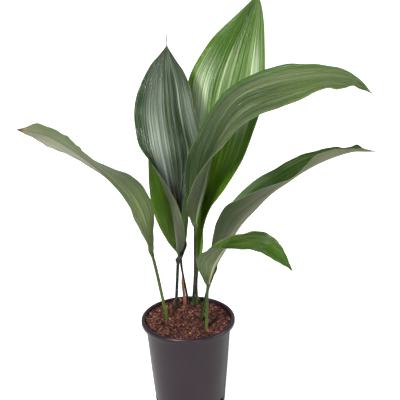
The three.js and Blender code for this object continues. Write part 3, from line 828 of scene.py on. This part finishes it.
def leafMaterial(name, look, values, matt, shared):
    material, tree, shader = newMaterial(name, matt, look.get("shine", 0.5))
    across, along = attribute(tree, "across"), attribute(tree, "along")
    place = {"Across": across, "Along": along, "Seed": float(values["seed"] * 3.7)}
    marks = placeGroup(tree, leafStreaks, {**place, "Veins": shared["veins"]})
    dried = placeGroup(tree, driedTip, {**place, "Start": values["dried"]})
    foot, middle, tip, pale = (srgb(*look[key]) for key in ("foot", "middle", "tip", "pale"))
    turns = look["turns"]
    colour = mixColour(tree, mapRange(tree, along, turns[0], turns[1]), foot, middle)
    colour = mixColour(tree, mapRange(tree, along, turns[2], turns[3]), colour, tip)
    share = shared["patchShare"]
    shown = times(tree, marks["Streak"], calc(tree, "MULTIPLY_ADD", marks["Patch"], share, 1 - share))
    # the pale streaks are partly the blade's waxy bloom and partly painted highlight along the veins
    colour = mixColour(tree, times(tree, shown, look["streaks"]), colour, pale)
    shaded = mixColour(tree, 1.0, colour, shared["veinTint"], "MULTIPLY")
    colour = mixColour(tree, times(tree, marks["Fine"], shared["veinShade"]), colour, shaded)
    veined = calc(tree, "MULTIPLY_ADD", marks["Streak"], 0.5, 0.5)
    # bands of another colour; some of them are painted highlights and painted shade, marked at their leaf
    for *reach, strength, tint in look.get("bands", ()):
        edges = dict(zip(("Left", "Right", "Start", "End", "Soft"), reach))
        band = placeGroup(tree, leafBand, {"Across": across, "Along": along, **edges})["Band"]
        colour = mixColour(tree, times(tree, times(tree, band, veined), strength), colour, srgb(*tint))
    rim, rib = shared["rim"], shared["rib"]
    edge = calc(tree, "ABSOLUTE", across)
    outer = mapRange(tree, edge, rim["from"], rim["to"])
    colour = mixColour(tree, times(tree, outer, rim["strength"]), colour, srgb(*rim["colour"]))
    inner = calc(tree, "SUBTRACT", 1.0, mapRange(tree, edge, 0.0, rib["width"]))
    colour = mixColour(tree, times(tree, inner, rib["strength"]), colour, srgb(*rib["colour"]))
    colour = mixColour(tree, dried["Yellow"], colour, srgb(*shared["yellowed"]))
    colour = mixColour(tree, dried["Dry"], colour, srgb(*shared["dry"]))
    # the stalk, with a paler foot where it leaves the soil
    low, high = (srgb(*values["stalk"][key]) for key in ("low", "high"))
    stalk = mixColour(tree, mapRange(tree, along, -0.8, -0.1), low, high)
    stalk = mixColour(tree, mapRange(tree, along, -0.82, -0.72), srgb(*shared["stalkFoot"]), stalk)
    colour = mixColour(tree, mapRange(tree, along, -0.03, 0.04), stalk, colour)
    fine, patch = (shared["roughnessSpread"][key] for key in ("Fine", "Patch"))
    rough = calc(tree, "MULTIPLY_ADD", marks["Fine"], fine, matt - fine / 2)
    rough = calc(tree, "MULTIPLY_ADD", marks["Patch"], patch, rough)
    rough = calc(tree, "MAXIMUM", rough, times(tree, dried["Dry"], shared["dryRoughness"]))
    height = calc(tree, "MULTIPLY_ADD", marks["Fine"], 0.6, marks["Streak"])
    setInputs(tree, shader, {
        "Base Color": colour,
        "Roughness": rough,
        "Normal": bumpNormal(tree, height, shared["veinBump"]),
        "Subsurface Weight": shared["through"],
        "Subsurface Radius": shared["throughColour"],
        "Subsurface Scale": shared["throughDepth"],
    })
    return material


def makeLeaves():
    for node, values in leafValues.items():
        piece = leafMesh(node.replace("leaf_", "blade_"), values, bladeValues)
        for side, matt in leafLook["roughness"].items():
            made = leafMaterial(f"{node}_{side}", values[side], values, matt, leafLook)
            piece.data.materials.append(made)
        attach(piece, "root")
        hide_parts(node)
        print("leaf", node, len(piece.data.polygons), "faces")


# ---- dry sheath

sheathValues = {
    "heading": 90,
    "opensAt": 0,
    "wave": (0, 1, 0),
    "seed": 9,
    "colour": (112, 66, 54),
    "streaks": (160, 104, 84),
    "foot": (84, 48, 38),
    "veins": 9.0,
    "veinSeed": 31.0,
    "veinBump": 0.0003,
    "roughness": 0.8,
    "specular": 0.3,
    "rows": [
        (-4, 42, 116, 2.5),
        (-4, 43, 141, 2.6, 20, 20, 20, 20),
        (-5, 44, 157, 2.7, 35, 35, 20, 20),
        (-7, 46, 177, 2, 35, 35, 20, 20),
        (-7, 48, 188, 0.6, 20, 20),
    ],
}
sheathBlade = dict(bladeValues, bladeStep=1.5, columns=10, ribs=4, ribHeight=0.12, blendWidth=2.9,
                   thickness=0.6, marginThickness=0.5, keelDepth=0.0, grooveDepth=0.0, smallWave=0.1)


def makeSheath(values):
    piece = leafMesh("papery_sheath", values, sheathBlade)
    material, tree, shader = newMaterial("papery", values["roughness"], values["specular"])
    across, along = attribute(tree, "across"), attribute(tree, "along")
    place = {"Across": across, "Along": along, "Veins": values["veins"], "Seed": values["veinSeed"]}
    streak = placeGroup(tree, leafStreaks, place)["Streak"]
    colour = mixColour(tree, streak, srgb(*values["streaks"]), srgb(*values["colour"]))
    colour = mixColour(tree, mapRange(tree, along, 0.1, 0.6), srgb(*values["foot"]), colour)
    setInputs(tree, shader, {"Base Color": colour, "Normal": bumpNormal(tree, streak, values["veinBump"])})
    for side in ("upper", "under"):
        piece.data.materials.append(material)
    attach(piece, "root")
    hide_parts("dry_sheath")
    print("dry sheath made")


# ---- pot

potValues = {
    "rimRadius": 70,
    "lipRadius": 2.8,
    "lipCentreZ": 139.2,
    "skirtZ": 134.5,
    "wall": 1.6,
    "floor": 2,
    "cornerRadius": 3.8,
    "body": [(53, 3.8), (54.3, 20), (57.8, 60), (60.9, 100), (62.3, 117), (63.5, 129)],
    "profileStep": 4,
    "sides": 144,
    "slots": 8,
    "slotFirst": -32,
    "slotWidth": 14,
    "slotHeight": 15,
    "slotInner": 42,
    "slotOuter": 60,
    "colour": (30, 19, 25),
    "worn": (40, 29, 35),
    "wear": 0.25,
    "surface": {"roughness": 0.3, "specular": 0.3, "grain": 900.0, "blotch": 24.0, "bump": 0.00004},
    "roughnessSpread": 0.08,
}


def arc(cx, cy, radius, first, last, steps):
    angles = np.radians(np.linspace(first, last, steps + 1))
    return [(cx + radius * math.cos(a), cy + radius * math.sin(a)) for a in angles]


def smoothProfile(points, step):
    # the outer wall as a smooth curve through its radii
    at, knots = rowSampler([(r, 0, z) for r, z in points])
    count = max(2, int(knots[-1] / step))
    return [(p[0], p[2]) for p in at(np.linspace(0, knots[-1], count + 1))]


def lathe(name, profile, sides):
    # closed profile of (radius, height); points on the axis become one vertex
    points, rings = [], []
    for r, z in profile:
        if r < 1e-6:
            rings.append([len(points)] * sides)
            points.append((0, 0, z * mm))
        else:
            rings.append(list(range(len(points), len(points) + sides)))
            for i in range(sides):
                a = 2 * math.pi * i / sides
                points.append((r * math.cos(a) * mm, r * math.sin(a) * mm, z * mm))
    faces = []
    for low, high in zip(rings, rings[1:]):
        for i in range(sides):
            j = (i + 1) % sides
            corners = [low[i], low[j], high[j], high[i]]
            faces.append([v for k, v in enumerate(corners) if v != corners[k - 1]])
    return meshObject(name, points, faces)


def applyModifiers(piece):
    depsgraph = bpy.context.evaluated_depsgraph_get()
    mesh = bpy.data.meshes.new_from_object(piece.evaluated_get(depsgraph))
    piece.modifiers.clear()
    old = piece.data
    piece.data = mesh
    bpy.data.meshes.remove(old)


def makePot(values):
    rim, lip, wall = values["rimRadius"], values["lipRadius"], values["wall"]
    lipR, lipZ, corner = rim - lip, values["lipCentreZ"], values["cornerRadius"]
    cornerR = values["body"][0][0] - corner
    outside = smoothProfile(values["body"], values["profileStep"])
    profile = [
        (0, 0),
        *arc(cornerR, corner, corner, -90, 0, 6),
        *outside[1:],
        *arc(lipR, lipZ, lip - wall, 180, 0, 10),
        (rim - wall, values["skirtZ"] + 0.3),
        *arc(rim - wall / 2, values["skirtZ"] + 0.8, wall / 2, 180, 360, 4),
        *arc(lipR, lipZ, lip, 0, 180, 16),
        *[(r - wall, z) for r, z in outside[::-1][:-1]],
        (cornerR + 1, values["floor"]),
        (0, values["floor"]),
    ]
    pot = lathe("grower_pot", profile, values["sides"])
    cutters = []
    length = values["slotOuter"] - values["slotInner"]
    for i in range(values["slots"]):
        turn = Matrix.Rotation(math.radians(values["slotFirst"] + i * 360 / values["slots"]), 4, "Z")
        x = (values["slotInner"] + length / 2) * mm
        place = turn @ Matrix.Translation((x, 0, (values["slotHeight"] / 2 - 1) * mm))
        bpy.ops.mesh.primitive_cube_add(size=1)
        cutter = bpy.context.object
        size = (length * mm, values["slotWidth"] * mm, (values["slotHeight"] + 2) * mm)
        cutter.data.transform(place @ Matrix.Diagonal((*size, 1)))
        cutters.append(cutter)
    for cutter in cutters:
        cut = pot.modifiers.new("slot", "BOOLEAN")
        cut.operation = "DIFFERENCE"
        cut.object = cutter
        cut.solver = "EXACT"
    applyModifiers(pot)
    for cutter in cutters:
        bpy.data.objects.remove(cutter)

    surface = values["surface"]
    material, tree, shader, marks = grainMaterial("mouldedPlastic", **surface)
    fresh, worn = srgb(*values["colour"]), srgb(*values["worn"])
    colour = mixColour(tree, times(tree, marks["Soft"], values["wear"]), fresh, worn)
    rough = calc(tree, "MULTIPLY_ADD", marks["Soft"], values["roughnessSpread"], surface["roughness"])
    setInputs(tree, shader, {"Base Color": colour, "Roughness": rough})
    pot.data.materials.clear()
    pot.data.materials.append(material)
    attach(pot, "root")
    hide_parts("pot")
    print("pot made", len(pot.data.polygons), "faces")


# ---- potting mix

soilValues = {
    "gap": 0.4,
    "shoulderZ": 136,
    "edgeOut": 0.2,  # how far the top edge reaches past the shoulder
    "topZ": 137,
    "edgeZ": 137.2,
    "crown": 2.2,
    "bump": 0.9,
    "bodySink": 0.6,  # how far the body and the bark's sheet lie under the measured surface
    "sheetSink": 0.4,
    "ripples": 24,
    "rippleHeight": 0.22,
    "rings": 40,
    "sides": 120,
    "sheetReach": 59.5,
    "sheetRings": 26,
    "sheetSides": 60,
    "chips": 2100,
    "chipSize": (0.0042, 0.0007, 0.00042),
    "crumbs": 600,
    "fibres": 1500,
    "chunks": 60,  # big pieces, only on the right half
    # lowest size, highest size and tilt; chips as shares of chipSize, the rest in metres
    "chipRange": ((0.5, 0.6, 0.5), (1.6, 1.7, 1.6), 0.55),
    "crumbRange": ((0.0006,) * 3, (0.0017,) * 3, 3.0),
    "fibreRange": ((0.0035,) * 3, (0.0078,) * 3, 0.45),
    "chunkRange": ((0.0018, 0.0012, 0.0006), (0.0036, 0.0024, 0.0012), 0.4),
    "chunksFrom": (0.0, 0.05),  # x in metres at which they begin and at which they lie closest
    "raggedness": 0.0016,
    "raggedScale": 420.0,
    "barkTones": [(0.0, (18, 7, 6)), (0.35, (54, 25, 20)), (0.65, (90, 49, 42)), (0.88, (144, 94, 82)),
                  (1.0, (176, 124, 92))],
    "barkDust": (52, 28, 20),
    "barkSurface": {"roughness": 0.85, "specular": 0.25, "grain": 1500.0, "blotch": 260.0, "bump": 0.0003},
    "mixTones": ((34, 20, 15), (70, 42, 32)),
    "mixSurface": {"roughness": 0.95, "specular": 0.15, "grain": 1100.0, "blotch": 300.0, "bump": 0.0006},
    "seed": 11,
}


def soilHeight(x, y, values):
    r = np.hypot(x, y) / potValues["rimRadius"]
    lumps = np.sin(x * 0.31 + 1.1) * np.cos(y * 0.27 - 0.6) + 0.7 * np.sin(x * 0.13 - y * 0.19 + 2.4)
    return values["edgeZ"] + values["crown"] * (1 - r * r) + values["bump"] * lumps * (1 - r**6)


def makeSoilBase(values):
    # the body of the mix, under the loose chips
    gap = values["gap"]
    wall = [(r - potValues["wall"] - gap, z) for r, z in potValues["body"]]
    foot = potValues["body"][0][0] - potValues["cornerRadius"] - gap
    bottom = potValues["floor"] + gap
    lowR, lowZ = wall[-1]
    innerR = potValues["rimRadius"] - 2 * potValues["lipRadius"] - gap
    topR = lowR + (innerR - lowR) * (values["shoulderZ"] - lowZ) / (potValues["lipCentreZ"] - lowZ)
    wall.append((topR, values["shoulderZ"]))
    rings = values["rings"]
    profile = [(0, bottom), (foot, bottom), *wall[1:]]
    top = values["topZ"]
    profile += [(topR * (1 - k / rings) + (values["edgeOut"] if k == 0 else 0), top) for k in range(rings)]
    profile.append((0, top))
    soil = lathe("potting_mix", profile, values["sides"])
    random = np.random.default_rng(values["seed"])
    waves = random.uniform(-1, 1, (values["ripples"], 4))
    for vertex in soil.data.vertices:
        if vertex.co.z > (top - 0.5) * mm:
            x, y = vertex.co.x / mm, vertex.co.y / mm
            z = float(soilHeight(x, y, values)) - values["bodySink"]
            for a, b, phase, strength in waves:
                z += values["rippleHeight"] * strength * math.sin(a * x + b * y + phase * 6)
            vertex.co.z = z * mm
    return soil


def chipTree(values):
    # shreds of bark, crumbs and fibres strewn over the mix
    tree = bpy.data.node_groups.new("strewnBark", "GeometryNodeTree")
    sockets = {"Geometry": "NodeSocketGeometry", "Chips": number, "Crumbs": number, "Fibres": number,
               "Chunks": number, "Chip Size": "NodeSocketVector", "Seed": "NodeSocketInt",
               "Material": "NodeSocketMaterial"}
    ids = {}
    for key, kind in sockets.items():
        ids[key] = tree.interface.new_socket(key, in_out="INPUT", socket_type=kind).identifier
    tree.interface.new_socket("Geometry", in_out="OUTPUT", socket_type="NodeSocketGeometry")
    given = tree.nodes.new("NodeGroupInput").outputs
    out = tree.nodes.new("NodeGroupOutput")

    def randomValue(kind, low, high, seed):
        # numbers of the two limits' sockets and of the output for each kind of value
        lowest, highest, result = {"FLOAT": (2, 3, 1), "FLOAT_VECTOR": (0, 1, 0)}[kind]
        inputs = {lowest: low, highest: high, "Seed": calc(tree, "ADD", given["Seed"], seed)}
        return addNode(tree, "FunctionNodeRandomValue", inputs, data_type=kind).outputs[result]

    def vectorMath(operation, inputs):
        return addNode(tree, "ShaderNodeVectorMath", inputs, operation=operation).outputs[0]

    def strewn(density, shape, seed, low, high, tilt, scale=None, tones=(0.0, 1.0)):
        own = calc(tree, "ADD", given["Seed"], seed)
        inputs = {"Mesh": given["Geometry"], "Density": density, "Seed": own}
        points = addNode(tree, "GeometryNodeDistributePointsOnFaces", inputs).outputs["Points"]
        turn = randomValue("FLOAT_VECTOR", (-tilt, -tilt, 0), (tilt, tilt, 2 * math.pi), seed + 1)
        size = randomValue("FLOAT_VECTOR", low, high, seed + 2)
        if scale is not None:
            size = vectorMath("MULTIPLY", {0: size, 1: scale})
        inputs = {"Points": points, "Instance": shape, "Rotation": turn, "Scale": size}
        placed = addNode(tree, "GeometryNodeInstanceOnPoints", inputs).outputs[0]
        inputs = {"Geometry": placed, "Name": "tone", "Value": randomValue("FLOAT", *tones, seed + 3)}
        settings = {"data_type": "FLOAT", "domain": "INSTANCE"}
        return addNode(tree, "GeometryNodeStoreNamedAttribute", inputs, **settings).outputs[0]

    chunk = addNode(tree, "GeometryNodeMeshCube",
                    {"Size": (2, 2, 2), "Vertices X": 4, "Vertices Y": 2, "Vertices Z": 2}).outputs[0]
    crumb = addNode(tree, "GeometryNodeMeshIcoSphere", {"Radius": 1.0, "Subdivisions": 1}).outputs[0]
    line = addNode(tree, "GeometryNodeCurvePrimitiveBezierSegment",
                   {"Resolution": 7, "Start": (-1, 0, 0), "Start Handle": (-0.4, 0.5, 0.2),
                    "End Handle": (0.4, -0.5, 0.3), "End": (1, 0, 0)})
    ring = addNode(tree, "GeometryNodeCurvePrimitiveCircle", {"Resolution": 4, "Radius": 0.05})
    inputs = {"Curve": line.outputs[0], "Profile Curve": ring.outputs[0], "Fill Caps": True}
    strand = addNode(tree, "GeometryNodeCurveToMesh", inputs).outputs[0]
    join = tree.nodes.new("GeometryNodeJoinGeometry")
    size = given["Chip Size"]
    spot = addNode(tree, "GeometryNodeInputPosition").outputs[0]
    eastward = addNode(tree, "ShaderNodeSeparateXYZ", {0: spot}).outputs[0]
    rightwards = mapRange(tree, eastward, *values["chunksFrom"])
    # the seeds are far enough apart for the four that each kind takes
    kinds = [
        strewn(given["Chips"], chunk, 1, *values["chipRange"], size),
        strewn(given["Crumbs"], crumb, 11, *values["crumbRange"]),
        strewn(given["Fibres"], strand, 21, *values["fibreRange"]),
        strewn(times(tree, given["Chunks"], rightwards), chunk, 31, *values["chunkRange"], tones=(0.8, 1.0)),
    ]
    for strewnKind in kinds:
        tree.links.new(strewnKind, join.inputs[0])
    real = addNode(tree, "GeometryNodeRealizeInstances", {"Geometry": join.outputs[0]}).outputs[0]
    # every chip gets its own ragged shape
    place = addNode(tree, "GeometryNodeInputPosition").outputs[0]
    inputs = {"Vector": place, "Scale": values["raggedScale"], "Detail": 2.0}
    rough = addNode(tree, "ShaderNodeTexNoise", inputs).outputs[1]
    shift = vectorMath("SUBTRACT", {0: rough, 1: (0.5, 0.5, 0.5)})
    shift = vectorMath("SCALE", {0: shift, 3: values["raggedness"]})
    moved = addNode(tree, "GeometryNodeSetPosition", {"Geometry": real, "Offset": shift}).outputs[0]
    inputs = {"Geometry": moved, "Material": given["Material"]}
    setInputs(tree, out, {0: addNode(tree, "GeometryNodeSetMaterial", inputs).outputs[0]})
    return tree, ids


def barkMaterial(values):
    material, tree, shader, marks = grainMaterial("barkChips", **values["barkSurface"])
    ramp = addNode(tree, "ShaderNodeValToRGB", {"Fac": attribute(tree, "tone")})
    stops = values["barkTones"]
    ramp.color_ramp.elements[0].color = srgb(*stops[0][1])
    ramp.color_ramp.elements[1].color = srgb(*stops[-1][1])
    for position, colour in stops[1:-1]:
        ramp.color_ramp.elements.new(position).color = srgb(*colour)
    colour = mixColour(tree, times(tree, marks["Soft"], 0.5), ramp.outputs[0], srgb(*values["barkDust"]))
    setInputs(tree, shader, {"Base Color": colour})
    return material


def soilMaterial(values):
    material, tree, shader, marks = grainMaterial("darkMix", **values["mixSurface"])
    dark, light = (srgb(*tone) for tone in values["mixTones"])
    setInputs(tree, shader, {"Base Color": mixColour(tree, marks["Soft"], dark, light)})
    return material


def makeSoil(values):
    soil = makeSoilBase(values)
    soil.data.materials.append(soilMaterial(values))
    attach(soil, "root")
    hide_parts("soil")

    # the sheet on which the loose bark lies
    reach, rings, sides = (values[key] for key in ("sheetReach", "sheetRings", "sheetSides"))
    points = [(0, 0, float(soilHeight(0, 0, values)) * mm)]
    faces = []
    for k in range(1, rings + 1):
        for i in range(sides):
            a = 2 * math.pi * i / sides
            x, y = reach * k / rings * math.cos(a), reach * k / rings * math.sin(a)
            points.append((x * mm, y * mm, (float(soilHeight(x, y, values)) - values["sheetSink"]) * mm))
    for i in range(sides):
        faces.append((0, 1 + i, 1 + (i + 1) % sides))
        for k in range(rings - 1):
            a, b = 1 + k * sides + i, 1 + k * sides + (i + 1) % sides
            faces.append((a, a + sides, b + sides, b))
    bark = meshObject("loose_bark", points, faces)
    tree, ids = chipTree(values)
    strew = bark.modifiers.new("strew", "NODES")
    strew.node_group = tree
    area = math.pi * (reach * mm) ** 2
    for key in ("chips", "crumbs", "fibres", "chunks"):
        strew[ids[key.capitalize()]] = values[key] / area
    strew[ids["Chip Size"]] = values["chipSize"]
    strew[ids["Seed"]] = values["seed"]
    strew[ids["Material"]] = barkMaterial(values)
    applyModifiers(bark)
    bark.data.polygons.foreach_set("use_smooth", np.zeros(len(bark.data.polygons), dtype=bool))
    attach(bark, "root")
    print("potting mix made", len(bark.data.polygons), "bark faces")


makeCamera(cameraValues)
makeStage(lightValues)
makePot(potValues)
makeSoil(soilValues)
makeLeaves()
makeSheath(sheathValues)
